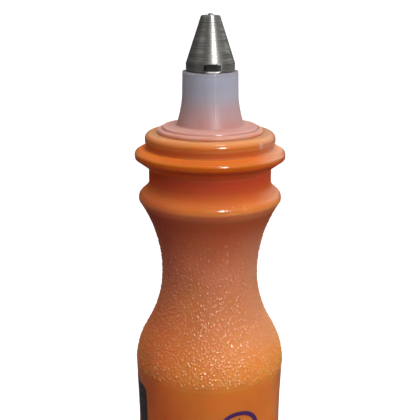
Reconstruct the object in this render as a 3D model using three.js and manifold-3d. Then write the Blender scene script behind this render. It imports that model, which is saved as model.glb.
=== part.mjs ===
// Glue applicator bottle: a squeezable bottle with a waist, a plug nozzle pressed into its neck, and
// a turned metal tip with a spring-loaded needle valve that opens when the tip is pressed on the work.
//
// Units are millimetres. +Z points up along the bottle's axis, and the origin is the centre of the
// face it stands on. Most pieces are turned about the axis, so an outline is a list of
// (radius, height) points. It runs with the material on its left, so that the faces point out.

import * as THREE from "three";
import { mergeVertices } from "three/addons/utils/BufferGeometryUtils.js";
import Module from "manifold-3d";

// ---- Driving dimensions -------------------------------------------------------------------------

const FINE_SIDES = 40; // sides of the large turned pieces; a multiple of 4 keeps the widest points on X and Y
const SMALL_SIDES = 24; // sides of the pieces inside the nozzle
const FIT_GAP = 0.05; // gap between two pieces that are pressed together

// Bottle, from the bottom up. Radii are outside radii.
const WALL = 0.9;
const FLOOR_WALL = 1.2;
const BASE_RADIUS = 8.0;
const BASE_CORNER = 1.6;
const FOOT_INNER_RADIUS = 4.6; // the bottle stands on a flat ring, outside a shallow push-up
const PUSH_UP = 0.7;
const BASE_BAND_TOP = 3.4;
const PANEL_RADIUS = 7.73; // smooth panel that carries the print
const PANEL_BOTTOM = 5.4;
const PANEL_TOP = 57.5;
const RIDGE_RADIUS = 7.96; // where the textured shoulder begins
const RIDGE_HEIGHT = 64.2;
const WAIST_RADIUS = 5.03;
const WAIST_HEIGHT = 74.4;
const SHOULDER_ROUND = 7.8; // radius of the shoulder below the hollow of the waist
const PANEL_EASE = 87; // radius of the slow swell from the panel out to the shoulder
const RING_RADIUS = 7.41; // bead above the waist
const RING_HEIGHT = 82.5;
const RING_HOLLOW = 14.4; // radius of the hollow between waist and ring
const RING_ROUND = 0.85;
const NECK_RADIUS = 6.33;
const NECK_BOTTOM = 84.3; // above a fillet that runs down to the ring
const NECK_FILLET = 1.0;
const NECK_TOP = 85.8;
const FLANGE_RADIUS = 7.75; // the cap's rim stops on this flange
const FLANGE_LOW = 86.62;
const FLANGE_ROUND = 0.3;
const FLANGE_SHOULDER = 87.42;
const FLANGE_CREST = 87.68; // flat land that the cap rests on
const CAP_LAND_INNER = 6.83; // clear of the bead above it
const CAP_LAND_OUTER = 7.1;
const BEAD_RADIUS = 6.7; // the cap snaps over this bead
const BEAD_FOOT_RADIUS = 6.58;
const BEAD_LOW = 88.1;
const LIP_ROUND = 0.6;
const LIP_TOP = 89.3;
const BORE_RADIUS = 4.75;
const BORE_BOTTOM = 80.6;

// Nozzle plug.
const DISC_RADIUS = 5.45;
const DISC_EDGE = 89.78;
const DISC_ROUND = 0.3;
const NOZZLE_FOOT_RADIUS = 3.36;
const NOZZLE_FOOT = 90.1;
const NOZZLE_FLARE_TOP = 92.8;
const NOZZLE_FLARE_RADIUS = 2.88;
const NOZZLE_TOP = 95.5;
const NOZZLE_TOP_RADIUS = 2.83;
const NOZZLE_BORE = 2.0;
const SKIRT_WALL = 0.9;
const SKIRT_BOTTOM = 82.6;
const TUBE_RADIUS = 2.9;
const TUBE_BOTTOM = 80.9;

// Metal tip.
const TIP_TOP = 101.0;
const TIP_TOP_RADIUS = 1.01;
const TIP_EDGE = 0.22;
const BAND_TOP = 96.35;
const BAND_RADIUS = 2.48;
const BAND_BOTTOM = 95.67;
const TIP_SEAT_RADIUS = 2.39;
const FLAT_REACH = 2.32; // from the axis to each of the two flats on the band
const FLAT_TURN = 5; // degrees from the front
const SHANK_BOTTOM = 92.6;
const SHANK_BORE = 1.15;
const SEAT_BOTTOM = 98.7; // the tip's bore narrows here, above which the needle seals
const SEAT_TOP = 99.6;
const ORIFICE_RADIUS = 0.36;

// Needle and the plastic carrier that guides it.
const NEEDLE_PROUD = 0.22;
const NEEDLE_POINT_RADIUS = 0.28;
const NEEDLE_RADIUS = 0.55;
const NEEDLE_SHOULDER = 99.2;
const NEEDLE_BOTTOM = 88.2;
const CARRIER_TOP = 91.6;
const CARRIER_BOTTOM = 87.4;
const CARRIER_HUB = 1.0;
const CARRIER_RADIUS = 1.9;
const CARRIER_FINS = 4;
const FIN_THICKNESS = 0.6;
const SPIGOT_LENGTH = 1.1; // part of the carrier that stands inside the spring
const SPIGOT_RADIUS = 0.85;

// Spring and its seat.
const SEAT_PLUG_BOTTOM = 80.9;
const SEAT_PLUG_TOP = 82.4;
const SEAT_PLUG_HOLES = 4;
const SEAT_HOLE_RADIUS = 0.4;
const SEAT_HOLE_CIRCLE = 1.3;
const SEAT_BOSS_RADIUS = 0.8;
const SEAT_BOSS_HEIGHT = 0.6;
const WIRE = 0.26;
const COIL_RADIUS = 1.4;
const COIL_TURNS = 8;
const CLOSED_TURNS = 1; // at each end, wound close
const SPRING_END_GAP = 0.03;

// Glue inside the bottle.
const GLUE_GAP = 0.1;
const GLUE_TOP = 73.0;

// ---- Outlines -----------------------------------------------------------------------------------

const at = (radius, height) => new THREE.Vector2(radius, height);

// Points of a round stretch about a centre; 0 degrees points away from the axis and 90 points up.
function arc(centreRadius, centreHeight, size, fromDeg, toDeg, steps) {
  return Array.from({ length: steps + 1 }, (_, i) => {
    const angle = THREE.MathUtils.degToRad(fromDeg + ((toDeg - fromDeg) * i) / steps);
    return at(centreRadius + size * Math.cos(angle), centreHeight + size * Math.sin(angle));
  });
}

// Two arcs that meet smoothly and join two upright ends, the first of radius firstSize.
function swell(from, to, firstSize, firstSteps, secondSteps) {
  const across = Math.abs(to.x - from.x);
  const along = Math.abs(to.y - from.y);
  const bothSizes = (across * across + along * along) / (2 * across);
  const secondSize = bothSizes - firstSize;
  const turn = Math.asin(along / bothSizes);
  const out = Math.sign(to.x - from.x);
  const up = Math.sign(to.y - from.y);
  const points = [];
  for (let i = 0; i <= firstSteps; i += 1) {
    const angle = (turn * i) / firstSteps;
    const sideways = out * firstSize * (1 - Math.cos(angle));
    points.push(at(from.x + sideways, from.y + up * firstSize * Math.sin(angle)));
  }
  for (let i = secondSteps - 1; i >= 0; i -= 1) {
    const angle = (turn * i) / secondSteps;
    const sideways = out * secondSize * (1 - Math.cos(angle));
    points.push(at(to.x - sideways, to.y - up * secondSize * Math.sin(angle)));
  }
  return points;
}

// ---- Solids -------------------------------------------------------------------------------------

const wasm = await Module();
wasm.setup();

// A turned piece. The outline starts and ends on the axis, or closes on itself when it is hollow.
function turned(outline, sides) {
  return new THREE.LatheGeometry(outline, sides).rotateX(Math.PI / 2);
}

function closed(outline) {
  return [...outline, outline[0]];
}

function solid(geometry) {
  const bare = new THREE.BufferGeometry();
  bare.setAttribute("position", geometry.getAttribute("position"));
  bare.setIndex(geometry.getIndex());
  const merged = mergeVertices(bare, 1e-4);
  return new wasm.Manifold(
    new wasm.Mesh({
      numProp: 3,
      vertProperties: new Float32Array(merged.getAttribute("position").array),
      triVerts: new Uint32Array(merged.getIndex().array),
    }),
  );
}

function geometryOf(manifold) {
  const mesh = manifold.getMesh();
  const positions = new Float32Array(mesh.numVert * 3);
  for (let i = 0; i < mesh.numVert; i += 1) {
    const start = i * mesh.numProp;
    positions.set(mesh.vertProperties.subarray(start, start + 3), i * 3);
  }
  const geometry = new THREE.BufferGeometry();
  geometry.setAttribute("position", new THREE.BufferAttribute(positions, 3));
  geometry.setIndex(new THREE.BufferAttribute(mesh.triVerts, 1));
  geometry.computeVertexNormals();
  return geometry;
}

// ---- Materials ----------------------------------------------------------------------------------

const plastic = (color, roughness) => new THREE.MeshStandardMaterial({ color, roughness, metalness: 0 });
const metal = (color, roughness) => new THREE.MeshStandardMaterial({ color, roughness, metalness: 1 });

const materials = {
  bottle: plastic("#c8642a", 0.45),
  nozzle: plastic("#c9c4cc", 0.4),
  tip: metal("#9b9a94", 0.3),
  needle: metal("#b4b4b0", 0.25),
  spring: metal("#a8a8a6", 0.35),
  acetal: plastic("#efefe8", 0.5),
  glue: plastic("#e9e2d2", 0.3),
};

// ---- Bottle -------------------------------------------------------------------------------------

function bottleOutside() {
  return [
    at(0, PUSH_UP),
    at(FOOT_INNER_RADIUS - 1.2, PUSH_UP),
    at(FOOT_INNER_RADIUS, 0),
    ...arc(BASE_RADIUS - BASE_CORNER, BASE_CORNER, BASE_CORNER, -90, 0, 4),
    ...swell(at(BASE_RADIUS, BASE_BAND_TOP), at(PANEL_RADIUS, PANEL_BOTTOM), 3.4, 2, 2),
    ...swell(at(PANEL_RADIUS, PANEL_TOP), at(RIDGE_RADIUS, RIDGE_HEIGHT), PANEL_EASE, 2, 2),
    ...swell(at(RIDGE_RADIUS, RIDGE_HEIGHT), at(WAIST_RADIUS, WAIST_HEIGHT), SHOULDER_ROUND, 6, 7).slice(1),
    ...swell(at(WAIST_RADIUS, WAIST_HEIGHT), at(RING_RADIUS, RING_HEIGHT), RING_HOLLOW, 7, 3).slice(1),
    ...arc(RING_RADIUS - RING_ROUND, RING_HEIGHT + 0.02, RING_ROUND, 0, 48, 3),
    ...arc(NECK_RADIUS + NECK_FILLET, NECK_BOTTOM, NECK_FILLET, 228, 180, 3),
    at(NECK_RADIUS, NECK_TOP),
    at(FLANGE_RADIUS - 0.12, FLANGE_LOW),
    at(FLANGE_RADIUS, FLANGE_LOW + 0.15),
    ...arc(FLANGE_RADIUS - FLANGE_ROUND, FLANGE_SHOULDER - FLANGE_ROUND, FLANGE_ROUND, 0, 75, 3),
    at(CAP_LAND_OUTER, FLANGE_CREST),
    at(CAP_LAND_INNER, FLANGE_CREST),
    at(BEAD_FOOT_RADIUS, FLANGE_CREST + 0.16),
    at(BEAD_FOOT_RADIUS, BEAD_LOW),
    at(BEAD_RADIUS, BEAD_LOW + 0.3),
    ...arc(BEAD_RADIUS - LIP_ROUND, LIP_TOP - LIP_ROUND, LIP_ROUND, 0, 90, 4),
  ];
}

// The shoulder from the ridge up to the waist, this far inside the bottle's outside.
function insideShoulder(inset) {
  const ridge = at(RIDGE_RADIUS - inset, RIDGE_HEIGHT);
  const waist = at(WAIST_RADIUS - inset, WAIST_HEIGHT);
  return swell(ridge, waist, SHOULDER_ROUND - inset, 3, 4);
}

function bottleInside() {
  return [
    at(BORE_RADIUS, LIP_TOP),
    ...swell(at(BORE_RADIUS, BORE_BOTTOM), at(WAIST_RADIUS - WALL, WAIST_HEIGHT), 12, 2, 3),
    ...insideShoulder(WALL).reverse().slice(1),
    at(PANEL_RADIUS - WALL, PANEL_TOP),
    ...arc(PANEL_RADIUS - WALL - 1.2, FLOOR_WALL + PUSH_UP + 1.2, 1.2, 0, -90, 3),
    at(0, FLOOR_WALL + PUSH_UP),
  ];
}

const bottleGeometry = turned([...bottleOutside(), ...bottleInside()], FINE_SIDES);

// ---- Nozzle plug --------------------------------------------------------------------------------

const discBottom = LIP_TOP + FIT_GAP;
const skirtRadius = BORE_RADIUS - FIT_GAP;
const discUnderside = LIP_TOP - 0.8; // inside the skirt

const nozzleGeometry = turned(
  closed([
    at(NOZZLE_BORE, TUBE_BOTTOM),
    at(TUBE_RADIUS, TUBE_BOTTOM),
    at(TUBE_RADIUS, discUnderside),
    at(skirtRadius - SKIRT_WALL, discUnderside),
    at(skirtRadius - SKIRT_WALL, SKIRT_BOTTOM),
    at(skirtRadius - 0.3, SKIRT_BOTTOM),
    at(skirtRadius, SKIRT_BOTTOM + 0.8),
    at(skirtRadius, discBottom),
    at(DISC_RADIUS, discBottom),
    ...arc(DISC_RADIUS - DISC_ROUND, DISC_EDGE - DISC_ROUND, DISC_ROUND, 0, 78, 3),
    at(NOZZLE_FOOT_RADIUS + 0.2, NOZZLE_FOOT - 0.03),
    at(NOZZLE_FOOT_RADIUS, NOZZLE_FOOT + 0.12),
    at(NOZZLE_FLARE_RADIUS + 0.24, NOZZLE_FOOT + 1.2),
    at(NOZZLE_FLARE_RADIUS + 0.09, NOZZLE_FLARE_TOP - 0.7),
    at(NOZZLE_FLARE_RADIUS, NOZZLE_FLARE_TOP),
    at(NOZZLE_TOP_RADIUS, NOZZLE_TOP - 0.08),
    at(NOZZLE_TOP_RADIUS - 0.08, NOZZLE_TOP),
    at(NOZZLE_BORE, NOZZLE_TOP),
  ]),
  FINE_SIDES,
);

// ---- Metal tip ----------------------------------------------------------------------------------

const shankRadius = NOZZLE_BORE - FIT_GAP;
const tipSeat = NOZZLE_TOP + FIT_GAP;

// A turned tip with two flats on its band, to hold it by when it is pressed in.
function tip() {
  const turnedTip = turned(
    closed([
      at(SHANK_BORE, SHANK_BOTTOM),
      at(shankRadius - 0.2, SHANK_BOTTOM),
      at(shankRadius, SHANK_BOTTOM + 0.3),
      at(shankRadius, tipSeat),
      at(TIP_SEAT_RADIUS, tipSeat),
      at(BAND_RADIUS, BAND_BOTTOM),
      at(BAND_RADIUS, BAND_TOP),
      ...arc(TIP_TOP_RADIUS - TIP_EDGE, TIP_TOP - TIP_EDGE, TIP_EDGE, 19, 90, 3),
      at(ORIFICE_RADIUS, TIP_TOP),
      at(ORIFICE_RADIUS, SEAT_TOP),
      at(SHANK_BORE, SEAT_BOTTOM),
    ]),
    FINE_SIDES,
  );
  let body = solid(turnedTip);
  for (const side of [-1, 1]) {
    const cut = new THREE.BoxGeometry(4, 1, 1);
    cut.translate(0, side * (FLAT_REACH + 0.5), BAND_TOP - 0.5);
    cut.rotateZ(THREE.MathUtils.degToRad(FLAT_TURN));
    body = body.subtract(solid(cut));
  }
  return geometryOf(body);
}

// ---- Needle and carrier -------------------------------------------------------------------------

const needleConeTop = NEEDLE_SHOULDER + 0.3;
const needleTop = TIP_TOP + NEEDLE_PROUD;
const needleHole = NEEDLE_RADIUS + FIT_GAP;

const needleGeometry = turned(
  [
    at(0, NEEDLE_BOTTOM),
    at(NEEDLE_RADIUS, NEEDLE_BOTTOM),
    at(NEEDLE_RADIUS, NEEDLE_SHOULDER),
    at(NEEDLE_POINT_RADIUS, needleConeTop),
    ...arc(0, needleTop - NEEDLE_POINT_RADIUS, NEEDLE_POINT_RADIUS, 0, 90, 3).slice(0, -1),
    at(0, needleTop),
  ],
  SMALL_SIDES,
);

// The hub is one turned piece; the fins are blades through it, trimmed to the hub's bore.
function carrier() {
  const hub = solid(
    turned(
      closed([
        at(0, CARRIER_BOTTOM - SPIGOT_LENGTH),
        at(SPIGOT_RADIUS - 0.2, CARRIER_BOTTOM - SPIGOT_LENGTH),
        at(SPIGOT_RADIUS, CARRIER_BOTTOM - SPIGOT_LENGTH + 0.3),
        at(SPIGOT_RADIUS, CARRIER_BOTTOM),
        at(CARRIER_RADIUS - 0.2, CARRIER_BOTTOM),
        at(CARRIER_RADIUS - 0.2, CARRIER_BOTTOM + 0.5),
        at(CARRIER_HUB, CARRIER_BOTTOM + 0.9),
        at(CARRIER_HUB, CARRIER_TOP),
        at(0, CARRIER_TOP),
      ]),
      SMALL_SIDES,
    ),
  );
  const finHeight = CARRIER_TOP - 0.5 - CARRIER_BOTTOM;
  const blade = new THREE.BoxGeometry(2 * CARRIER_RADIUS, FIN_THICKNESS, finHeight);
  blade.translate(0, 0, CARRIER_BOTTOM + finHeight / 2);
  let body = hub;
  for (let i = 0; i < CARRIER_FINS / 2; i += 1) {
    body = body.add(solid(blade.clone().rotateZ((i * 2 * Math.PI) / CARRIER_FINS)));
  }
  const holeDepth = CARRIER_TOP - NEEDLE_BOTTOM + FIT_GAP;
  const hole = new THREE.CylinderGeometry(needleHole, needleHole, holeDepth + 1, SMALL_SIDES);
  hole.rotateX(Math.PI / 2).translate(0, 0, CARRIER_TOP - holeDepth + (holeDepth + 1) / 2);
  return geometryOf(body.subtract(solid(hole)));
}

// ---- Spring and its seat ------------------------------------------------------------------------

function springSeat() {
  const body = solid(
    turned(
      [
        at(0, SEAT_PLUG_BOTTOM),
        at(shankRadius - 0.25, SEAT_PLUG_BOTTOM),
        at(shankRadius, SEAT_PLUG_BOTTOM + 0.25),
        at(shankRadius, SEAT_PLUG_TOP),
        at(SEAT_BOSS_RADIUS, SEAT_PLUG_TOP),
        at(SEAT_BOSS_RADIUS - 0.15, SEAT_PLUG_TOP + SEAT_BOSS_HEIGHT),
        at(0, SEAT_PLUG_TOP + SEAT_BOSS_HEIGHT),
      ],
      SMALL_SIDES,
    ),
  );
  let plug = body;
  for (let i = 0; i < SEAT_PLUG_HOLES; i += 1) {
    const angle = ((i + 0.5) * 2 * Math.PI) / SEAT_PLUG_HOLES;
    const hole = new THREE.CylinderGeometry(SEAT_HOLE_RADIUS, SEAT_HOLE_RADIUS, 4, 12);
    const [x, y] = [SEAT_HOLE_CIRCLE * Math.cos(angle), SEAT_HOLE_CIRCLE * Math.sin(angle)];
    hole.rotateX(Math.PI / 2).translate(x, y, SEAT_PLUG_TOP);
    plug = plug.subtract(solid(hole));
  }
  return geometryOf(plug);
}

// A coil whose end turns lie nearly flat on the seat and under the carrier.
class Coil extends THREE.Curve {
  constructor(radius, low, high, turns) {
    super();
    Object.assign(this, { radius, low, high, turns });
  }

  getPoint(along, target = new THREE.Vector3()) {
    const turn = along * this.turns;
    const openTurns = this.turns - 2 * CLOSED_TURNS;
    const closedRise = CLOSED_TURNS * WIRE * 1.15;
    const openRise = this.high - this.low - 2 * closedRise;
    let height = this.low + (closedRise * turn) / CLOSED_TURNS;
    if (turn > CLOSED_TURNS) {
      const open = Math.min(turn - CLOSED_TURNS, openTurns);
      height = this.low + closedRise + (openRise * open) / openTurns;
    }
    if (turn > CLOSED_TURNS + openTurns) {
      height += (closedRise * (turn - CLOSED_TURNS - openTurns)) / CLOSED_TURNS;
    }
    const angle = turn * 2 * Math.PI;
    return target.set(this.radius * Math.cos(angle), this.radius * Math.sin(angle), height);
  }
}

function spring() {
  const low = SEAT_PLUG_TOP + WIRE / 2 + SPRING_END_GAP;
  const high = CARRIER_BOTTOM - WIRE / 2 - SPRING_END_GAP;
  const coil = new Coil(COIL_RADIUS, low, high, COIL_TURNS);
  const section = new THREE.Shape().absarc(0, 0, WIRE / 2, 0, 2 * Math.PI);
  return new THREE.ExtrudeGeometry(section, {
    steps: COIL_TURNS * 12,
    curveSegments: 3,
    bevelEnabled: false,
    extrudePath: coil,
  });
}

// ---- Glue ---------------------------------------------------------------------------------------

const glueInset = WALL + GLUE_GAP;

const glueGeometry = turned(
  [
    at(0, FLOOR_WALL + PUSH_UP + GLUE_GAP),
    ...arc(PANEL_RADIUS - glueInset - 1.1, FLOOR_WALL + PUSH_UP + GLUE_GAP + 1.1, 1.1, -90, 0, 3),
    at(PANEL_RADIUS - glueInset, PANEL_TOP),
    ...insideShoulder(glueInset).filter((point) => point.y < GLUE_TOP - 0.4),
    at(WAIST_RADIUS - glueInset + 0.05, GLUE_TOP),
    at(0, GLUE_TOP),
  ],
  SMALL_SIDES,
);

// ---- Export -------------------------------------------------------------------------------------

const bottle = new THREE.Group();

function add(name, geometry, material) {
  const mesh = new THREE.Mesh(geometry, material);
  mesh.name = name;
  bottle.add(mesh);
}

add("bottle", bottleGeometry, materials.bottle);
add("nozzle", nozzleGeometry, materials.nozzle);
add("metal_tip", tip(), materials.tip);
add("valve_needle", needleGeometry, materials.needle);
add("needle_carrier", carrier(), materials.acetal);
add("valve_spring", spring(), materials.spring);
add("spring_seat", springSeat(), materials.acetal);
add("glue_fill", glueGeometry, materials.glue);

export default bottle;
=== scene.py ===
"""Looks of a glue applicator bottle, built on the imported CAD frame.

Everything is in metres in the CAD's frame: +Z runs up the bottle's axis from the face it stands on, and
-Y is the side that the camera sees. Outlines are lists of (radius, height) in millimetres, with the
material on their left. An angle round the bottle is measured from the front, and grows to the right as
the camera sees it.
"""
import math
import random

import bmesh
import bpy
import numpy as np
from mathutils import Matrix, Vector


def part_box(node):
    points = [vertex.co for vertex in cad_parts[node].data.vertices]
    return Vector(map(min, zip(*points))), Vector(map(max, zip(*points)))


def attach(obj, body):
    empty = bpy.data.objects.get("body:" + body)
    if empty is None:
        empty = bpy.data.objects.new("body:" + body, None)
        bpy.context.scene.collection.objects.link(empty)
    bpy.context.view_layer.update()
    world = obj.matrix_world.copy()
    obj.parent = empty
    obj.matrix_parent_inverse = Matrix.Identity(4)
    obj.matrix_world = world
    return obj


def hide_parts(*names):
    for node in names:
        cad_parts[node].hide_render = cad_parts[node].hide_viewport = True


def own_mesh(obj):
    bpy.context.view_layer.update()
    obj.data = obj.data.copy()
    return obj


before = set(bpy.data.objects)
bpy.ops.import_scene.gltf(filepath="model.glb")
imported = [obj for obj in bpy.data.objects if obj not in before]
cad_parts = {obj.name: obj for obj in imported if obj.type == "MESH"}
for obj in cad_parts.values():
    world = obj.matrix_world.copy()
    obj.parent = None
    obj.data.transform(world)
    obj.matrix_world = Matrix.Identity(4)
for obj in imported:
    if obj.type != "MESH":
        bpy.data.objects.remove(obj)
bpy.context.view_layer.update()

MM = 0.001
ON_AXIS = 1e-6


# ---- Outlines ------------------------------------------------------------------------------------

def top_of(node):
    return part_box(node)[1].z / MM


def low_of(node):
    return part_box(node)[0].z / MM


def radius_of(node):
    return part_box(node)[1].x / MM


def arc(centre_radius, centre_height, size, start, end, steps=8):
    """Points of a round stretch. At 0 degrees it faces away from the axis, and at 90 it faces up."""
    angles = [math.radians(start + (end - start) * i / steps) for i in range(steps + 1)]
    return [(centre_radius + size * math.cos(a), centre_height + size * math.sin(a)) for a in angles]


def swell(start, end, first_size, steps=14):
    """Two arcs that meet smoothly and join two upright ends, the first of radius first_size."""
    across, along = abs(end[0] - start[0]), abs(end[1] - start[1])
    both = (across * across + along * along) / (2 * across)
    last_size = both - first_size
    turn = math.asin(along / both)
    out = math.copysign(1, end[0] - start[0])
    up = math.copysign(1, end[1] - start[1])
    points = []
    for i in range(steps + 1):
        a = turn * i / steps
        sideways, upwards = first_size * (1 - math.cos(a)), first_size * math.sin(a)
        points.append((start[0] + out * sideways, start[1] + up * upwards))
    for i in range(steps - 1, -1, -1):
        a = turn * i / steps
        sideways, upwards = last_size * (1 - math.cos(a)), last_size * math.sin(a)
        points.append((end[0] - out * sideways, end[1] - up * upwards))
    return points


def spread(points, step):
    """The same outline with more points, so that no gap is longer than step."""
    out = [points[0]]
    for (r0, z0), (r1, z1) in zip(points, points[1:]):
        count = max(1, math.ceil(math.hypot(r1 - r0, z1 - z0) / step))
        for i in range(1, count + 1):
            out.append((r0 + (r1 - r0) * i / count, z0 + (z1 - z0) * i / count))
    return out


# ---- Meshes --------------------------------------------------------------------------------------

def ring_angles(sides):
    """The angles of a ring's points, in radians from the front."""
    return np.arange(sides) * 2 * math.pi / sides


def turn_from(angle, angles):
    """How far round each of the angles is from one angle, in radians from -pi to pi."""
    return (angles - angle + math.pi) % (2 * math.pi) - math.pi


def linked(name, data):
    piece = bpy.data.objects.new(name, data)
    bpy.context.scene.collection.objects.link(piece)
    return piece


def mesh_object(name, vertices, faces, sharp=40):
    """A smooth piece. Edges that turn by more than sharp degrees stay crisp."""
    mesh = bpy.data.meshes.new(name)
    mesh.from_pydata([tuple(v) for v in vertices], [], faces)
    work = bmesh.new()
    work.from_mesh(mesh)
    bmesh.ops.recalc_face_normals(work, faces=work.faces)
    work.to_mesh(mesh)
    work.free()
    mesh.polygons.foreach_set("use_smooth", [True] * len(mesh.polygons))
    mesh.set_sharp_from_angle(angle=math.radians(sharp))
    mesh.update()
    return linked(name, mesh)


def revolve(name, outline, sides, closed=False, lift=None, sharp=40):
    """A turned piece. A closed outline is joined from its last point to its first. lift, if given, is an
    array with how far out each point of each ring moves, in mm."""
    is_ring = [r > ON_AXIS for r, _ in outline]
    angles = ring_angles(sides)
    vertices, starts = [], []
    for i, (r, z) in enumerate(outline):
        starts.append(len(vertices))
        if not is_ring[i]:
            vertices.append((0.0, 0.0, z * MM))
            continue
        reach = (r + (lift[i] if lift is not None else 0.0)) * np.ones(sides) * MM
        xs, ys = reach * np.sin(angles), -reach * np.cos(angles)
        vertices += list(zip(xs.tolist(), ys.tolist(), [z * MM] * sides))
    pairs = list(zip(range(len(outline)), range(1, len(outline))))
    if closed:
        pairs.append((len(outline) - 1, 0))
    faces = []
    for a, b in pairs:
        for k in range(sides):
            n = (k + 1) % sides
            if is_ring[a] and is_ring[b]:
                faces.append((starts[a] + k, starts[a] + n, starts[b] + n, starts[b] + k))
            elif is_ring[b]:
                faces.append((starts[a], starts[b] + n, starts[b] + k))
            elif is_ring[a]:
                faces.append((starts[a] + k, starts[a] + n, starts[b]))
    return mesh_object(name, vertices, faces, sharp)


# ---- Shader nodes --------------------------------------------------------------------------------

class Nodes:
    """Short ways to add and join the nodes of one tree."""

    def __init__(self, tree):
        self.tree = tree

    def add(self, kind, inputs=None, **settings):
        node = self.tree.nodes.new(kind)
        for key, value in settings.items():
            setattr(node, key, value)
        for key, value in (inputs or {}).items():
            self.feed(node.inputs[key], value)
        return node

    def feed(self, socket, value):
        """Link another node's output to a socket, or give it a plain value."""
        if isinstance(value, bpy.types.NodeSocket):
            self.tree.links.new(value, socket)
        else:
            socket.default_value = value

    def math(self, operation, a, b=0.0, c=0.0):
        return self.add("ShaderNodeMath", {0: a, 1: b, 2: c}, operation=operation).outputs[0]

    def times(self, a, b):
        return self.math("MULTIPLY", a, b)

    def larger(self, a, b):
        return self.math("MAXIMUM", a, b)

    def ramp(self, value, low, high, to_low=0.0, to_high=1.0, smooth=True):
        kind = "SMOOTHSTEP" if smooth else "LINEAR"
        inputs = {"Value": value, "From Min": low, "From Max": high, "To Min": to_low, "To Max": to_high}
        return self.add("ShaderNodeMapRange", inputs, interpolation_type=kind).outputs[0]


class Finish(Nodes):
    """A material with one Principled shader. Its patterns are fixed to the piece."""

    def __init__(self, name, **uniform):
        self.material = bpy.data.materials.new(name)
        self.material.use_nodes = True
        super().__init__(self.material.node_tree)
        self.shader = self.tree.nodes["Principled BSDF"]
        for key, value in uniform.items():
            self.shader.inputs[key.replace("_", " ")].default_value = value
        self.place = self.add("ShaderNodeTexCoord").outputs["Object"]
        self.x, self.y, self.z = self.add("ShaderNodeSeparateXYZ", {0: self.place}).outputs

    def set(self, name, value):
        self.tree.links.new(value, self.shader.inputs[name])

    def rise(self, start, end, low=0.0, high=1.0):
        """A soft step between two heights in mm."""
        return self.ramp(self.z, start * MM, end * MM, low, high)

    def aside(self, start, end):
        """A soft step between two distances to the right of the axis, in mm."""
        return self.ramp(self.x, start * MM, end * MM)

    def noise(self, scale, detail=3.0, stretch=(1, 1, 1), roughness=0.5):
        moved = self.add("ShaderNodeMapping", {"Vector": self.place, "Scale": stretch}).outputs[0]
        inputs = {"Vector": moved, "Scale": scale, "Detail": detail, "Roughness": roughness}
        return self.add("ShaderNodeTexNoise", inputs).outputs["Fac"]

    def blend(self, factor, a, b, mode="MIX"):
        node = self.add("ShaderNodeMix", data_type="RGBA", blend_type=mode)
        self.feed(node.inputs[0], factor)
        for index, value in ((6, a), (7, b)):
            self.feed(node.inputs[index], (*value, 1.0) if isinstance(value, tuple) else value)
        return node.outputs[2]

    def by_height(self, stops):
        """A colour that changes with height; stops are (height in mm, colour)."""
        low, high = stops[0][0], stops[-1][0]
        factor = self.ramp(self.z, low * MM, high * MM, smooth=False)
        node = self.add("ShaderNodeValToRGB", {"Fac": factor})
        points = node.color_ramp.elements
        while len(points) < len(stops):
            points.new(0.5)
        for point, (height, colour) in zip(points, stops):
            point.position = (height - low) / (high - low)
            point.color = (*colour, 1.0)
        return node.outputs["Color"]

    def spot(self, place, size):
        """1 at a place on the wall and 0 outside an oval round it. The place is (radius, angle, height)."""
        radius, angle, height = place
        turn = math.radians(angle)
        centre = [c * MM for c in (radius * math.sin(turn), -radius * math.cos(turn), height)]
        reach = [s * MM for s in size]
        offset = self.add("ShaderNodeVectorMath", {0: self.place, 1: centre}, operation="SUBTRACT")
        scaled = self.add("ShaderNodeVectorMath", {0: offset.outputs[0], 1: reach}, operation="DIVIDE")
        length = self.add("ShaderNodeVectorMath", {0: scaled.outputs[0]}, operation="LENGTH")
        return self.ramp(length.outputs["Value"], 1.3, 0.5)

    def bump(self, height, depth, strength=1.0, over=None):
        """A normal from a pattern, as deep as depth in mm. over is a normal that it is laid on."""
        inputs = {"Height": height, "Distance": depth * MM, "Strength": strength}
        if over is not None:
            inputs["Normal"] = over
        return self.add("ShaderNodeBump", inputs).outputs["Normal"]


def paint(piece, finish):
    piece.data.materials.clear()
    piece.data.materials.append(finish.material)


# ---- Bottle: finish ------------------------------------------------------------------------------

TEXTURE_LOW = 64.1
TEXTURE_HIGH = 83.2

# The plastic's orange by height, with painted light in it: a paler, pinker painted sheen on the shoulder and
# waist, painted shade low under the ring and on the flange's lower edge, a painted pale sheen on the ring's
# underside, and the neck lightened against the flange's shadow and deepened in red for light through the
# plastic.
WALL_COLOURS_AND_LIGHT = [
    (50.0, (0.74, 0.195, 0.036)),
    (62.8, (0.80, 0.220, 0.036)),
    (64.8, (0.80, 0.270, 0.036)),
    (66.5, (0.75, 0.245, 0.038)),
    (68.5, (0.64, 0.205, 0.036)),
    (70.0, (0.64, 0.200, 0.046)),
    (72.5, (0.67, 0.220, 0.068)),
    (75.0, (0.70, 0.225, 0.095)),
    (77.2, (0.70, 0.195, 0.076)),
    (80.5, (0.61, 0.112, 0.032)),
    (81.4, (0.64, 0.125, 0.034)),
    (81.9, (0.90, 0.240, 0.090)),
    (82.3, (0.94, 0.320, 0.100)),
    (82.8, (0.74, 0.240, 0.040)),
    (83.6, (0.62, 0.120, 0.010)),
    (84.6, (0.68, 0.070, 0.006)),
    (85.3, (0.72, 0.062, 0.005)),
    (86.0, (1.00, 0.200, 0.036)),
    (86.8, (0.60, 0.090, 0.006)),
    (87.15, (0.56, 0.150, 0.007)),
    (88.0, (0.62, 0.120, 0.008)),
    (88.9, (0.62, 0.200, 0.036)),
    (89.3, (0.62, 0.270, 0.100)),
]
CLOUD_COLOUR = (0.42, 0.085, 0.012)
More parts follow.
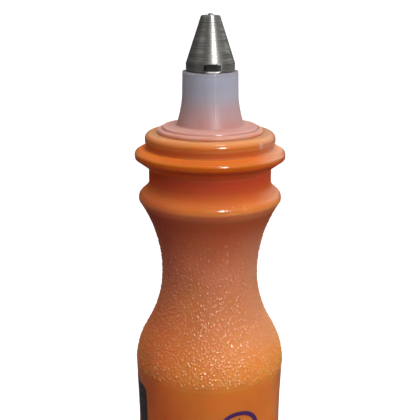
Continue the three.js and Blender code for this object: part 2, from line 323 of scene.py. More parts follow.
# The next three colours are painted light: a redder painted shade on the left side, a paler painted light on
# the right side of the shoulder and waist, and a painted pale reflection on the right tops of the ring,
# flange and bead.
LEFT_SHADE_TINT = (1.0, 0.76, 1.0)
RIGHT_LIGHT_COLOUR = (0.60, 0.33, 0.22)
RIGHT_TOPS_REFLECTION_COLOUR = (0.60, 0.42, 0.32)
DOME_HIGHLIGHT_COLOUR = (0.90, 0.48, 0.24)

FLECK_PLACE = (6.7, 48.5, 88.7)
FLECK_SIZE = (0.26, 0.26, 0.42)
FLECK_COLOUR = (0.70, 0.36, 0.36)
# Faint pale upright strokes on the waist, as angle, height and length.
PALE_STROKES = ((16.5, 78.9, 0.30), (19.0, 77.9, 0.42), (21.0, 78.8, 0.22), (20.0, 76.9, 0.25))
PALE_STROKE_WIDTH = 0.09
PALE_STROKE_COLOUR = (0.80, 0.42, 0.30)

GLOSSY_ROUGHNESS = 0.17
DULL_ROUGHNESS = 0.66


def wall_colour_and_light(f):
    """Orange that changes with height, with painted sheen and painted shade in its stops. The left side is
    redder with painted shade, the right side of the shoulder and waist is paler with painted light, and the
    right tops of the ring, flange and bead are paler with a painted reflection.
    """
    colour = f.by_height(WALL_COLOURS_AND_LIGHT)
    colour = f.blend(f.ramp(f.noise(260.0, detail=4.0), 0.35, 0.7, 0.0, 0.22), colour, CLOUD_COLOUR)
    # Painted shade: the left side below the ring is made redder.
    left = f.times(f.aside(-1.0, -5.5), f.rise(83.8, 82.8))
    colour = f.blend(left, colour, LEFT_SHADE_TINT, "MULTIPLY")
    # Painted light: the right side of the shoulder and waist is made paler.
    right = f.times(f.aside(1.0, 5.5), f.rise(65.5, 68.5))
    colour = f.blend(f.times(right, f.rise(81.0, 78.0, 0.0, 0.22)), colour, RIGHT_LIGHT_COLOUR)
    # Painted reflection: the right side of the ring's top and of the flange and bead is made paler.
    ring_top = f.times(f.rise(82.8, 83.1, 0.0, 0.3), f.rise(84.0, 83.7))
    tops = f.larger(ring_top, f.rise(86.9, 87.3, 0.0, 0.4))
    return f.blend(f.times(tops, f.aside(4.0, 7.0)), colour, RIGHT_TOPS_REFLECTION_COLOUR)


def wall_marks(f, colour):
    """One pale fleck on the bead, and faint pale upright strokes on the waist."""
    fleck = f.spot(FLECK_PLACE, FLECK_SIZE)
    colour = f.blend(f.times(fleck, 0.6), colour, FLECK_COLOUR)
    pale_strokes = 0.0
    for angle, height, length in PALE_STROKES:
        radius = 5.05 + 0.03 * (height - WAIST[1]) ** 2
        pale_strokes = f.larger(pale_strokes, f.spot((radius, angle, height), (PALE_STROKE_WIDTH, PALE_STROKE_WIDTH, length)))
    return f.blend(f.times(pale_strokes, 0.6), colour, PALE_STROKE_COLOUR)


def wall_roughness(f, textured):
    """Dull on the texture, the neck and the groove under the bead, and glossy elsewhere."""
    neck = f.times(f.rise(83.0, 83.4), f.rise(86.8, 86.4))
    groove = f.times(f.rise(87.4, 87.6), f.rise(88.7, 88.4))
    dull = f.larger(f.larger(neck, groove), textured)
    level = f.ramp(dull, 0.0, 1.0, GLOSSY_ROUGHNESS, DULL_ROUGHNESS, smooth=False)
    level = f.math("ADD", level, f.times(neck, 0.2))
    uneven = f.times(f.math("SUBTRACT", f.noise(2600.0, detail=2.0), 0.5), 0.12)
    return f.math("ADD", level, uneven)


def bottle_finish():
    """Translucent plastic. The attribute grain is the lift of the domes, which are glossy and paler with a
    painted highlight.
    """
    f = Finish("orange_plastic", Subsurface_Weight=0.85, Subsurface_Scale=0.0011, IOR=1.5,
               Subsurface_Radius=(1.0, 0.32, 0.12), Specular_IOR_Level=0.3, Coat_Roughness=0.2)
    dome = f.add("ShaderNodeAttribute", attribute_name="grain").outputs["Fac"]
    colour = wall_marks(f, wall_colour_and_light(f))
    # Painted highlight: the dome tops are made paler.
    f.set("Base Color", f.blend(f.ramp(dome, 0.02, 0.08, 0.0, 0.35), colour, DOME_HIGHLIGHT_COLOUR))
    f.set("Coat Weight", f.ramp(dome, 0.01, 0.05))
    textured = f.times(f.rise(TEXTURE_LOW - 0.8, TEXTURE_LOW + 0.8), f.rise(82.6, 82.1))
    f.set("Roughness", wall_roughness(f, textured))
    fine = f.noise(5200.0, detail=2.0, stretch=(1, 1, 0.6))
    fine = f.times(fine, f.ramp(textured, 0.0, 1.0, 0.04, 1.0, smooth=False))
    waves = f.bump(f.noise(420.0, detail=2.0), 0.04, 0.35)
    f.set("Normal", f.bump(fine, 0.02, 0.55, over=waves))
    return f


# ---- Bottle: shape -------------------------------------------------------------------------------

BOTTLE_SIDES = 960
WALL = 0.9
BASE_RADIUS = radius_of("bottle")
BASE_CORNER = 1.6
BASE_TOP = 3.4
PANEL_RADIUS = 7.73
PANEL_LOW = 5.4
PANEL_HIGH = 57.5
RIDGE_RADIUS = 7.96
RIDGE_HEIGHT = 64.2
WAIST = (5.03, 74.4)
RING = (7.41, 82.5)
RING_SIZE = 0.85
NECK_RADIUS = 6.33
FLANGE_RADIUS = 7.75
CAP_LAND = 87.68
BEAD_RADIUS = 6.70
LIP_TOP = top_of("bottle")
LIP_SIZE = 0.6
BORE_RADIUS = 4.75
BORE_LOW = 80.6
FLOOR_TOP = 1.9

# How far apart the rings of the mesh are, in mm.
TEXTURE_STEP = 0.06
RIDGE_STEP = 0.2
PLAIN_STEP = 1.6

# The moulded domes: how many of the places are filled, and how full their size is, by height.
DOME_PITCH = 0.31
DOME_ROW_GAP = DOME_PITCH * 0.86
FILLED = ([64.1, 65.0, 70.0, 73.0, 77.0, 82.0, 82.4], [0.4, 0.9, 0.8, 0.65, 0.35, 0.10, 0.0])
FULL_SIZE = ([64.3, 69.0, 76.0, 82.4], [1, 0.88, 0.82, 0.6])

# A closer patch of domes on the ring, from one angle to another.
PATCH_LOW = 82.3
PATCH_START = 12
PATCH_END = 32
PATCH_FILLED = 0.65
PATCH_LIFT = 1.15


def body_outline():
    """The panel, the ridge, the shoulder and the waist, up to the ring."""
    ridge = (RIDGE_RADIUS, RIDGE_HEIGHT)
    low = swell((PANEL_RADIUS, PANEL_HIGH), ridge, 87.0)
    shoulder = swell(ridge, WAIST, 7.8, 20)
    hollow = swell(WAIST, RING, 14.4, 20)
    return low + shoulder[1:] + hollow[1:]


def bottle_outline():
    foot = [(0, 0.7), (1.5, 0.7), (3.2, 0.66), (4.0, 0.4)] + arc(5.0, 0.55, 0.55, 215, 270, 4)
    foot += arc(BASE_RADIUS - BASE_CORNER, BASE_CORNER, BASE_CORNER, -90, 0, 12)
    foot += swell((BASE_RADIUS, BASE_TOP), (PANEL_RADIUS, PANEL_LOW), 3.4, 6)
    neck = arc(RING[0] - RING_SIZE, RING[1] + 0.02, RING_SIZE, 2, 48, 10)
    neck += arc(NECK_RADIUS + 1.0, 84.3, 1.0, 228, 180, 8)
    neck += arc(NECK_RADIUS + 0.35, 85.5, 0.35, 180, 125, 5)
    flange = arc(FLANGE_RADIUS - 0.18, 86.8, 0.18, -75, 0, 5)
    flange += arc(FLANGE_RADIUS - 0.3, 87.12, 0.3, 0, 72, 8)
    flange += [(7.1, CAP_LAND), (6.83, CAP_LAND)] + arc(BEAD_RADIUS + 0.04, 87.84, 0.16, 265, 180, 5)
    bead = [(BEAD_RADIUS - 0.12, 88.05)] + arc(BEAD_RADIUS - 0.15, 88.4, 0.15, -20, 0, 2)
    bead += arc(BEAD_RADIUS - LIP_SIZE, LIP_TOP - LIP_SIZE, LIP_SIZE, 0, 90, 12)
    return foot + body_outline() + neck + flange + bead


def bottle_inside():
    """From the lip down the bore, the waist, the shoulder and the panel to the middle of the floor."""
    ridge = (RIDGE_RADIUS - WALL, RIDGE_HEIGHT)
    waist = (WAIST[0] - WALL, WAIST[1])
    down = [(BORE_RADIUS, LIP_TOP)] + swell((BORE_RADIUS, BORE_LOW), waist, 12, 6)
    down += swell(ridge, waist, 6.9, 8)[::-1][1:]
    down += [(PANEL_RADIUS - WALL, PANEL_HIGH)]
    return down + arc(PANEL_RADIUS - WALL - 1.2, 3.1, 1.2, 0, -90, 5) + [(0, FLOOR_TOP)]


def pebbles(outline, sides, seed=11):
    """The moulded texture on the shoulder: small domes, as a lift in mm for every ring and side."""
    rng = random.Random(seed)
    lift = np.zeros((len(outline), sides))
    run = [0.0]
    for (r0, z0), (r1, z1) in zip(outline, outline[1:]):
        run.append(run[-1] + math.hypot(r1 - r0, z1 - z0))
    run = np.array(run)
    radii = np.array([r for r, _ in outline])
    heights = np.array([z for _, z in outline])
    rows = np.where((heights > TEXTURE_LOW) & (heights < TEXTURE_HIGH))[0]
    angles = ring_angles(sides)
    along = run[rows[0]] + 0.1
    while along < run[rows[-1]]:
        nearest = int(np.argmin(abs(run - along)))
        radius, height = radii[nearest], heights[nearest]
        filled = np.interp(height, *FILLED)
        full_size = np.interp(height, *FULL_SIZE)
        count = int(2 * math.pi * radius / DOME_PITCH)
        for k in range(count):
            in_patch = height > PATCH_LOW and PATCH_START < k * 360 / count < PATCH_END
            if rng.random() > (PATCH_FILLED if in_patch else filled):
                continue
            turn = (k + rng.uniform(-0.5, 0.5)) / count * 2 * math.pi
            here = along + rng.uniform(-0.15, 0.15)
            wide = rng.uniform(0.10, 0.17) * full_size
            tall = wide * rng.uniform(0.9, 1.4)
            high = wide * rng.uniform(0.28, 0.58) * (PATCH_LIFT if in_patch else 1.0)
            near = rows[abs(run[rows] - here) < tall]
            gap = turn_from(turn, angles) * radius
            cols = np.where(abs(gap) < wide)[0]
            off = ((run[near] - here) / tall)[:, None] ** 2 + (gap[cols] / wide)[None, :] ** 2
            dome = high * np.clip(1 - off, 0, 1) ** 0.9
            lift[np.ix_(near, cols)] = np.maximum(lift[np.ix_(near, cols)], dome)
        along += DOME_ROW_GAP
    return lift


def fine_outline():
    """The outside with its rings close together where the texture is."""
    coarse = bottle_outline()
    outline = []
    for start, end in zip(coarse, coarse[1:]):
        middle = (start[1] + end[1]) / 2
        step = RIDGE_STEP if 62 < middle < 66 else PLAIN_STEP
        if TEXTURE_LOW - 0.3 < middle < TEXTURE_HIGH + 0.3:
            step = TEXTURE_STEP
        outline += spread([start, end], step)[:-1]
    return outline + [coarse[-1]]


def build_bottle():
    """The bottle with its domes. The ridge is drawn in a little, so that they stay inside the CAD's box."""
    outline, inside = fine_outline(), bottle_inside()
    grain = np.vstack([pebbles(outline, BOTTLE_SIDES), np.zeros((len(inside), BOTTLE_SIDES))])
    outline = outline + inside
    ease = np.interp([z for _, z in outline], [61.6, 64.8, 67.0, 70.0], [0, 1, 1, 0])
    ease = ease * ease * (3 - 2 * ease)
    room = np.array([BASE_RADIUS - 0.004 - r for r, _ in outline])
    lift = np.minimum(grain - 0.05 * ease[:, None], room[:, None])
    body = revolve("bottle_body", outline, BOTTLE_SIDES, lift=lift)
    values = [row if r > ON_AXIS else row[:1] for (r, _), row in zip(outline, grain)]
    attribute = body.data.attributes.new("grain", "FLOAT", "POINT")
    attribute.data.foreach_set("value", np.concatenate(values))
    return body


bottle = build_bottle()
paint(bottle, bottle_finish())
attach(bottle, "body")
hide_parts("bottle")


# ---- Nozzle --------------------------------------------------------------------------------------

NOZZLE_SIDES = 256
NOZZLE_BORE = 2.0
NOZZLE_RADIUS = 2.83
NOZZLE_EDGE = 0.04
TUBE_RADIUS = 2.9
SKIRT_LOW = 82.6
SKIRT_RADIUS = 4.7
DISC_EDGE = 0.28

SEAM_ANGLE = 10
SEAM_LOW = 90.4
SEAM_LIFT = 0.02
SEAM_WIDTH = 0.1
SEAM_COLOUR = (0.74, 0.71, 0.74)

# The milky plastic's colour by height, with painted light in it: painted orange and pink light from the
# bottle on the foot and disc, and painted shade at the top, under the metal band.
NOZZLE_COLOURS_AND_LIGHT = [
    (89.3, (0.62, 0.190, 0.070)),
    (89.7, (0.52, 0.240, 0.170)),
    (90.4, (0.50, 0.250, 0.215)),
    (92.0, (0.48, 0.335, 0.340)),
    (93.2, (0.46, 0.440, 0.490)),
    (95.0, (0.44, 0.460, 0.535)),
    (95.35, (0.36, 0.360, 0.420)),
    (95.5, (0.12, 0.120, 0.140)),
]
NOZZLE_CLOUDS = (0.48, 0.42, 0.44)


def nozzle_finish():
    """Milky plastic with painted orange and pink light from the bottle at its foot and painted shade at its
    top under the metal band, with a paler seam and a polished step.
    """
    f = Finish("milky_plastic", Subsurface_Weight=0.9, Subsurface_Scale=0.0012, IOR=1.5,
               Subsurface_Radius=(1.0, 0.75, 0.6), Specular_IOR_Level=0.3)
    colour = f.by_height(NOZZLE_COLOURS_AND_LIGHT)
    colour = f.blend(f.ramp(f.noise(500.0), 0.35, 0.75, 0.0, 0.2), colour, NOZZLE_CLOUDS)
    turn = math.radians(SEAM_ANGLE)
    off_seam = f.math("MULTIPLY_ADD", f.x, math.cos(turn), f.times(f.y, math.sin(turn)))
    off_seam = f.math("ABSOLUTE", off_seam)
    seam = f.times(f.ramp(off_seam, 0.09 * MM, 0.03 * MM), f.rise(SEAM_LOW, SEAM_LOW + 0.3))
    f.set("Base Color", f.blend(f.times(seam, 0.2), colour, SEAM_COLOUR))
    polished = f.times(f.rise(89.74, 89.76), f.rise(89.96, 89.90, 0.0, 0.28))
    f.set("Roughness", f.math("SUBTRACT", f.ramp(f.noise(1500.0), 0.3, 0.7, 0.42, 0.48), polished))
    f.set("Normal", f.bump(f.noise(600.0, detail=1.0, stretch=(1, 1, 0.4)), 0.02, 0.3))
    return f


def nozzle_outline():
    """Down inside the tube and the skirt, over the disc and its step, and up the flared nozzle."""
    top = top_of("nozzle")
    low = low_of("nozzle")
    disc = radius_of("nozzle")
    bottom = LIP_TOP + 0.01
    bore = NOZZLE_BORE
    outline = [(bore, low), (TUBE_RADIUS, low), (TUBE_RADIUS, 88.5), (3.8, 88.5), (3.8, SKIRT_LOW)]
    outline += [(4.4, SKIRT_LOW), (SKIRT_RADIUS, 83.4), (SKIRT_RADIUS, bottom)]
    outline += [(disc - 0.02, bottom), (disc, bottom + 0.02)]
    outline += arc(disc - DISC_EDGE, 89.44, DISC_EDGE, 0, 80, 8)
    outline += [(4.99, 89.72), (4.95, 89.73)] + arc(4.70, 89.74, 0.24, 5, 80, 8)
    outline += [(4.2, 89.99), (3.72, 90.04)] + arc(3.62, 90.27, 0.22, 255, 190, 5)
    outline += [(3.32, 90.5), (3.12, 91.3), (3.02, 91.8), (2.94, 92.3), (2.89, 92.75), (2.865, 93.3)]
    outline += arc(NOZZLE_RADIUS - NOZZLE_EDGE, top - NOZZLE_EDGE, NOZZLE_EDGE, 0, 90, 4)
    return spread(outline + [(bore, top)], 0.5)


def build_nozzle():
    """The plug and nozzle, with a faint moulding seam on both sides."""
    outline = nozzle_outline()
    angles = ring_angles(NOZZLE_SIDES)
    lift = np.zeros((len(outline), NOZZLE_SIDES))
    for i, (r, z) in enumerate(outline):
        if SEAM_LOW < z < top_of("nozzle") - 0.1 and r > 2.5:
            for side in (math.radians(SEAM_ANGLE), math.radians(SEAM_ANGLE + 180)):
                gap = abs(turn_from(side, angles)) * r
                lift[i] += SEAM_LIFT * np.clip(1 - gap / SEAM_WIDTH, 0, 1)
    return revolve("nozzle_plug", outline, NOZZLE_SIDES, closed=True, lift=lift)


nozzle = build_nozzle()
paint(nozzle, nozzle_finish())
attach(nozzle, "body")
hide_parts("nozzle")


# ---- Metal tip, needle and spring ----------------------------------------------------------------

TIP_SIDES = 192
BAND_TOP = 96.36
TIP_BORE = 1.15
NEEDLE_HOLE = 0.36
TIP_ROUND = 0.22
GROOVE_DEPTH = 0.012

# The two flats on the tip's band: how far they are turned, how far from the axis, and how high they show,
# and the painted dark reflection on them.
FLAT_ANGLE = 5.0
FLAT_REACH = 2.32
FLAT_MIDDLE = 96.01
FLAT_HALF = 0.35
FLAT_REFLECTION_COLOUR = (0.02, 0.02, 0.02)

NEEDLE_RADIUS = 0.55
POINT_RADIUS = 0.28
STEEL = (0.45, 0.445, 0.415)


def on_flats(f):
    """1 on the flats of the band and 0 elsewhere."""
    turn = math.radians(FLAT_ANGLE)
    side = f.math("MULTIPLY_ADD", f.x, math.sin(turn), f.times(f.y, -math.cos(turn)))
    inside = f.math("COMPARE", f.math("ABSOLUTE", side), FLAT_REACH * MM, 0.004 * MM)
    return f.times(inside, f.math("COMPARE", f.z, FLAT_MIDDLE * MM, FLAT_HALF * MM))


def turned_metal(name, colour, rough=(0.42, 0.72), flats=False):
    """Metal with fine rings round the axis, which stretch its highlights along it."""
    f = Finish(name, Metallic=1.0, Anisotropic=0.95, Anisotropic_Rotation=0.25)
    f.set("Tangent", f.add("ShaderNodeTangent", direction_type="RADIAL", axis="Z").outputs[0])
    rings = f.noise(7800.0, detail=3.0, stretch=(0.03, 0.03, 1.0), roughness=0.75)
    smear = f.noise(900.0, detail=3.0, stretch=(0.6, 0.6, 1.0))
    darker = f.times(f.ramp(rings, 0.36, 0.66), f.ramp(smear, 0.3, 0.7, 0.5, 1.0))
    shade = f.blend(darker, colour, tuple(c * 0.6 for c in colour))
    if flats:
        # Painted reflection: the flats are painted near black.
        shade = f.blend(on_flats(f), shade, FLAT_REFLECTION_COLOUR)
    f.set("Base Color", shade)
    f.set("Roughness", f.ramp(rings, 0.42, 0.58, *rough))
    f.set("Normal", f.bump(rings, 0.016, 0.6))
    return f


def tip_outline():
    """Up the shank, the band and the cone, and down the needle's hole and the bore."""
    top = top_of("metal_tip")
    low = low_of("metal_tip")
    band = radius_of("metal_tip")
    outline = [(TIP_BORE, low), (1.75, low), (1.95, low + 0.3), (1.95, 95.52), (2.36, 95.52)]
    outline += [(band - 0.06, 95.6), (band, 95.72), (band, 96.3), (band, BAND_TOP)]
    cone = arc(band - 0.1, 96.32, 0.1, 0, 19, 2) + arc(0.79, top - TIP_ROUND, TIP_ROUND, 19, 90, 8)
    rng = random.Random(5)
    for r, z in spread(cone, 0.045):
        grooved = 96.4 < z < top - 0.25
        outline.append((r - (rng.uniform(0, GROOVE_DEPTH) if grooved else 0), z))
    return outline + [(NEEDLE_HOLE, top), (NEEDLE_HOLE, 99.6), (TIP_BORE, 98.7)]


def build_tip():
    """The tip, with turning grooves on its cone and two flats cut into its band."""
    outline = tip_outline()
    lift = np.zeros((len(outline), TIP_SIDES))
    across = np.abs(np.cos(ring_angles(TIP_SIDES) - math.radians(FLAT_ANGLE)))
    for i, (r, z) in enumerate(outline):
        if r > FLAT_REACH and z < BAND_TOP:
            lift[i] = np.minimum(0, FLAT_REACH / np.maximum(across, 1e-3) - r)
    return revolve("turned_tip", outline, TIP_SIDES, closed=True, lift=lift, sharp=60)


def build_needle():
    low, top = low_of("valve_needle"), top_of("valve_needle")
    outline = [(0, low), (NEEDLE_RADIUS - 0.08, low), (NEEDLE_RADIUS, low + 0.08)]
    outline += [(NEEDLE_RADIUS, 99.2), (POINT_RADIUS, 99.5)]
    outline += arc(0, top - POINT_RADIUS, POINT_RADIUS, 0, 80, 8) + [(0, top)]
    return revolve("needle_pin", outline, 64)


def spring_height(turn, low, high, turns, wire):
    """How high the middle of the wire is, with the first and last turns wound close."""
    closed_rise = 1.15 * wire
    open_rise = high - low - 2 * closed_rise
    part = min(max(turn - 1, 0), turns - 2)
    height = low + closed_rise * min(turn, 1) + open_rise * part / (turns - 2)
    return height + closed_rise * max(turn - turns + 1, 0)


def build_spring():
    """The coil, as rings of points along the wire, with flat ends."""
    wire, radius, turns, ring_points, per_turn = 0.26, 1.4, 8, 12, 40
    low, high = low_of("valve_spring") + wire / 2, top_of("valve_spring") - wire / 2
    vertices, faces = [], []
    count = turns * per_turn
    for i in range(count + 1):
        turn = turns * i / count
        middle = spring_height(turn, low, high, turns, wire)
        a = turn * 2 * math.pi
        for k in range(ring_points):
            b = 2 * math.pi * k / ring_points
            reach = (radius + wire / 2 * math.cos(b)) * MM
            height = (middle + wire / 2 * math.sin(b)) * MM
            vertices.append((reach * math.cos(a), reach * math.sin(a), height))
    for i in range(count):
        for k in range(ring_points):
            n = (k + 1) % ring_points
            a, b = i * ring_points, (i + 1) * ring_points
            faces.append((a + k, a + n, b + n, b + k))
    faces.append(tuple(range(ring_points)))
    faces.append(tuple(count * ring_points + k for k in range(ring_points)))
    return mesh_object("coil_spring", vertices, faces)


tip = build_tip()
paint(tip, turned_metal("turned_steel", STEEL, flats=True))
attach(tip, "body")
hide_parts("metal_tip")

needle = build_needle()
paint(needle, turned_metal("ground_steel", (0.36, 0.36, 0.35), (0.5, 0.6)))
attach(needle, "valve")
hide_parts("valve_needle")

spring = build_spring()
paint(spring, turned_metal("spring_wire", (0.58, 0.58, 0.57), (0.3, 0.42)))
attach(spring, "body")
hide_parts("valve_spring")
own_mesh(spring)


# ---- Carrier, spring seat and glue ---------------------------------------------------------------

def hard_plastic():
    f = Finish("white_acetal", IOR=1.48)
    f.set("Base Color", f.blend(f.ramp(f.noise(800.0), 0.3, 0.7), (0.84, 0.84, 0.80), (0.76, 0.76, 0.73)))
    f.set("Roughness", f.ramp(f.noise(1800.0), 0.3, 0.7, 0.35, 0.5))
    f.set("Normal", f.bump(f.noise(2500.0), 0.01, 0.4))
    return f


def glue_finish():
    f = Finish("milky_glue", Subsurface_Weight=0.8, Subsurface_Scale=0.002, IOR=1.42)
    f.set("Base Color", f.blend(f.ramp(f.noise(300.0), 0.3, 0.7), (0.82, 0.78, 0.68), (0.74, 0.70, 0.60)))
    f.set("Roughness", f.ramp(f.noise(500.0), 0.3, 0.7, 0.12, 0.25))
    f.set("Normal", f.bump(f.noise(400.0), 0.05, 0.3))
    return f


acetal = hard_plastic()
paint(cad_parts["needle_carrier"], acetal)
paint(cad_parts["spring_seat"], acetal)
paint(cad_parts["glue_fill"], glue_finish())


# ---- Print ---------------------------------------------------------------------------------------

# The ink's thickness, and how far it stands off the wall.
INK = 0.016
INK_GAP = 0.004

# Sheets of ink are cut into strips, so that they can follow the wall.
STRIP_WIDTH = 0.3
STRIP_HEIGHT = 1.5
LEAST_STRIP = 0.02

BADGE_ANGLE = 23.5
BADGE_HEIGHT = 59.0
RULE_LENGTH = 9.0

PANEL_HALF_TURN = 45
PANEL_ANGLE = -58.6 - PANEL_HALF_TURN
WINDOW_COUNT = 4
WINDOW_TOP = 55.5
WINDOW_PITCH = 13.5
WINDOW_SIZE = 7.6


def ink_finish(name, colour):
    f = Finish(name, IOR=1.5)
    f.set("Base Color", f.blend(f.ramp(f.noise(1500.0), 0.35, 0.7), colour, tuple(c * 1.35 for c in colour)))
    f.set("Roughness", f.ramp(f.noise(2200.0), 0.3, 0.7, 0.3, 0.48))
    f.set("Normal", f.bump(f.noise(3500.0), 0.006, 0.5))
    return f


def body_radius(height):
    """The radius of the wall at a height on the panel or just above it."""
    points = [(z, r) for r, z in body_outline() if z <= RIDGE_HEIGHT + 0.1]
    points = [(PANEL_LOW, PANEL_RADIUS)] + points
    for (z0, r0), (z1, r1) in zip(points, points[1:]):
        if z0 <= height <= z1:
            return r0 + (r1 - r0) * (height - z0) / max(z1 - z0, 1e-9)
    return PANEL_RADIUS


def loop_round(cx, cy, width, height, corner, steps=8):
    """A rectangle with round corners, as points in mm."""
    points = []
    centres = ((1, 1, 0), (-1, 1, 90), (-1, -1, 180), (1, -1, 270))
    for sx, sy, start in centres:
        for i in range(steps + 1):
            a = math.radians(start + 90 * i / steps)
            points.append((cx + sx * (width / 2 - corner) + corner * math.cos(a),
                           cy + sy * (height / 2 - corner) + corner * math.sin(a)))
    return points


def loop_drop(cx, cy, size, steps=20):
    """A drop: a round bottom that narrows to a point at the top."""
    points = []
    for i in range(steps):
        a = 2 * math.pi * i / steps
        wide = math.sin(a) * math.sin(a / 2) ** 1.3
        points.append((cx + size * 0.62 * wide * 1.5, cy + size * math.cos(a)))
    return points


def loop_wave(cx, cy, length, height, thick, waves=3, steps=36):
    """A wavy line of even thickness, like a bead of glue."""
    upper, lower = [], []
    for i in range(steps + 1):
        u = cx - length / 2 + length * i / steps
        v = cy + height * math.sin(2 * math.pi * waves * i / steps)
        upper.append((u, v + thick / 2))
        lower.append((u, v - thick / 2))
    return upper + lower[::-1]


def flat_sheet(name, loops):
    """A flat sheet as thick as the ink, in mm. A loop inside another is a hole in it."""
    curve = bpy.data.curves.new(name, "CURVE")
    curve.dimensions = "2D"
    curve.fill_mode = "BOTH"
    curve.extrude = INK / 2
    for loop in loops:
        spline = curve.splines.new("POLY")
        spline.points.add(len(loop) - 1)
        for point, (u, v) in zip(spline.points, loop):
            point.co = (u, v, 0, 1)
        spline.use_cyclic_u = True
    flat = linked(name + "_flat", curve)
    bpy.context.view_layer.update()
    depsgraph = bpy.context.evaluated_depsgraph_get()
    mesh = bpy.data.meshes.new_from_object(flat.evaluated_get(depsgraph))
    bpy.data.objects.remove(flat)
    bpy.data.curves.remove(curve)
    return mesh


def cut_strips(work, values, step, normal):
    """Cut a sheet straight across, again and again, between the lowest and the highest of the values."""
    cut = min(values) + step
    while cut < max(values) - LEAST_STRIP:
        geometry = work.verts[:] + work.edges[:] + work.faces[:]
        place = [cut * n for n in normal]
        bmesh.ops.bisect_plane(work, geom=geometry, dist=1e-6, plane_co=place, plane_no=normal)
        cut += step


def printed(name, loops, angle, ink):
    """A thin layer of ink on the bottle's wall, from loops of points in mm, across and up. angle is where
    zero across lies, in degrees from the front."""
    mesh = flat_sheet(name, loops)
    work = bmesh.new()
    work.from_mesh(mesh)
    bmesh.ops.remove_doubles(work, verts=work.verts, dist=1e-5)
    us = [v.co.x for v in work.verts]
    vs = [v.co.y for v in work.verts]
    cut_strips(work, us, STRIP_WIDTH, (1, 0, 0))
    cut_strips(work, vs, STRIP_HEIGHT, (0, 1, 0))
    for v in work.verts:
        u, height, out = v.co
        radius = body_radius(height) + INK / 2 + INK_GAP + out
        turn = math.radians(angle) + u / PANEL_RADIUS
        v.co = Vector((radius * math.sin(turn), -radius * math.cos(turn), height)) * MM
    bmesh.ops.recalc_face_normals(work, faces=work.faces)
    if work.calc_volume(signed=True) < 0:
        bmesh.ops.reverse_faces(work, faces=work.faces)
    work.to_mesh(mesh)
    work.free()
    mesh.name = name
    piece = linked(name, mesh)
    paint(piece, ink)
    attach(piece, "body")


def print_badge(ink):
    """A ring round a drop, and below it a rule and a wavy line."""
    outer = loop_round(0, BADGE_HEIGHT, 4.8, 4.8, 2.3, 12)
    inner = loop_round(0, BADGE_HEIGHT, 3.88, 3.88, 1.84, 12)[::-1]
    printed("print_badge", [outer, inner], BADGE_ANGLE, ink)
    printed("print_badge_drop", [loop_drop(0, BADGE_HEIGHT + 0.2, 1.5)], BADGE_ANGLE, ink)
    printed("print_rule", [loop_round(0, 55.0, RULE_LENGTH, 0.45, 0.2, 4)], BADGE_ANGLE, ink)
    printed("print_bead", [loop_wave(0, 51.5, RULE_LENGTH, 0.75, 0.5)], BADGE_ANGLE, ink)


def print_panel(ink):
    """A plain panel with windows, and a drop or a wavy line in each window."""
    width = 2 * PANEL_HALF_TURN * math.pi / 180 * PANEL_RADIUS
    heights = [WINDOW_TOP - WINDOW_PITCH * row for row in range(WINDOW_COUNT)]
    loops = [loop_round(0, 35.25, width, 54.5, 0.6, 6)]
    loops += [loop_round(0, height, WINDOW_SIZE, WINDOW_SIZE, 1.4, 8)[::-1] for height in heights]
    printed("print_panel", loops, PANEL_ANGLE, ink)
    for row, height in enumerate(heights):
        drop = loop_drop(0, height, 2.3)
        wave = loop_wave(0, height, 5.6, 1.1, 0.7, 2)
        printed("print_mark_%d" % row, [drop if row % 2 == 0 else wave], PANEL_ANGLE, ink)


print_badge(ink_finish("violet_ink", (0.060, 0.014, 0.085)))
print_panel(ink_finish("dark_ink", (0.026, 0.010, 0.012)))


# ---- Floor, lights and camera --------------------------------------------------------------------

FLOOR_RADIUS = 9000
FLOOR_THICKNESS = 2
WORLD_COLOUR = (1.0, 0.955, 0.94, 1.0)
SEEN_STRENGTH = 1.2
KEY_COLOUR = (0.96, 1.0, 1.10)

LOOK_AT = Vector((0.00001, 0, 0.08097))
DISTANCE = 0.09345
PITCH = math.radians(15.4)
ROLL = math.radians(0.2)
LENS = 76.3
SENSOR = 36


def direction(azimuth, elevation):
    """Towards a light; azimuth grows to the right of the camera's side."""
    a, e = math.radians(azimuth), math.radians(elevation)
    return (math.sin(a) * math.cos(e), -math.cos(a) * math.cos(e), math.sin(e))


def build_floor():
    """A large pale disc. It looks white and throws little light back up on the bottle."""
    outline = [(0, -FLOOR_THICKNESS), (FLOOR_RADIUS, -FLOOR_THICKNESS), (FLOOR_RADIUS, 0), (0, 0)]
    floor = revolve("floor", outline, 96)
    f = Finish("pale_floor", Roughness=0.9)
    f.set("Base Color", f.blend(f.ramp(f.noise(14.0), 0.3, 0.7), (0.90, 0.90, 0.90), (0.93, 0.93, 0.93)))
    dim = f.add("ShaderNodeBsdfDiffuse", {"Color": (0.08, 0.08, 0.08, 1.0)})
    seen = f.add("ShaderNodeLightPath").outputs["Is Camera Ray"]
    mixed = f.add("ShaderNodeMixShader", {0: seen, 1: dim.outputs[0], 2: f.shader.outputs[0]})
    f.tree.links.new(mixed.outputs[0], f.tree.nodes["Material Output"].inputs["Surface"])
    paint(floor, f)


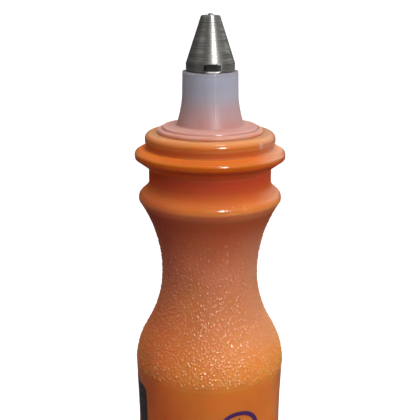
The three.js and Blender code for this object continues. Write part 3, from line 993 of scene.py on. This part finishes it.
def build_world():
    """Soft light from above, a little more of it from the right and the front, and little from below.
    One part in front is darker, above the camera and left of it, as if someone stood there."""
    world = bpy.data.worlds.new("studio")
    bpy.context.scene.world = world
    world.use_nodes = True
    n = Nodes(world.node_tree)
    way = n.add("ShaderNodeTexCoord").outputs["Generated"]
    x, y, z = n.add("ShaderNodeSeparateXYZ", {0: way}).outputs
    above = n.ramp(z, -0.1, 0.8, 0.04, 0.8)
    right = n.ramp(x, -1.0, 1.0, 0.5, 1.35, smooth=False)
    front = n.ramp(y, -1.0, 1.0, 1.1, 0.8, smooth=False)
    near = n.add("ShaderNodeVectorMath", {0: way, 1: direction(-16, 24)}, operation="DOT_PRODUCT")
    shade = n.ramp(near.outputs["Value"], 0.86, 0.98, 1.0, 0.35)
    level = n.times(n.times(above, shade), n.times(right, front))
    seen = n.add("ShaderNodeLightPath").outputs["Is Camera Ray"]
    strength = n.add("ShaderNodeMix", {0: seen, 2: level, 3: SEEN_STRENGTH}).outputs[0]
    background = n.tree.nodes["Background"]
    n.feed(background.inputs["Color"], WORLD_COLOUR)
    n.feed(background.inputs["Strength"], strength)


def sun(name, towards, strength, angle, colour=(1, 1, 1), glossy=True, diffuse=True):
    """A light from far away. angle is how wide it looks, in degrees; a wide one is soft."""
    data = bpy.data.lights.new(name, "SUN")
    data.energy = strength
    data.angle = math.radians(angle)
    data.color = colour
    lamp = linked(name, data)
    lamp.rotation_mode = "QUATERNION"
    lamp.rotation_quaternion = Vector(towards).to_track_quat("Z", "Y")
    lamp.visible_glossy = glossy
    lamp.visible_diffuse = diffuse


def build_lights():
    sun("key_light", direction(26, 44), 2.2, 55, KEY_COLOUR, glossy=False)
    sun("top_light", direction(66, 79.6), 0.7, 12)
    sun("glint_light", direction(22, 26), 4.2, 7, diffuse=False)
    sun("rim_light", direction(125, 22), 0.3, 50, diffuse=False)
    sun("left_light", direction(-62, 24), 0.14, 40, diffuse=False)
    sun("back_light", direction(195, 8), 1.2, 70, glossy=False)


def build_camera():
    data = bpy.data.cameras.new("camera")
    data.lens = LENS
    data.sensor_width = SENSOR
    data.clip_start, data.clip_end = 0.002, 50
    camera = linked("camera", data)
    back = Vector((0, -math.cos(PITCH), math.sin(PITCH)))
    turn = (-back).to_track_quat("-Z", "Y").to_matrix().to_4x4()
    place = Matrix.Translation(LOOK_AT + back * DISTANCE)
    camera.matrix_world = place @ turn @ Matrix.Rotation(ROLL, 4, "Z")
    bpy.context.scene.camera = camera


build_floor()
build_world()
build_lights()
build_camera()
bpy.context.scene.view_settings.view_transform = "Standard"
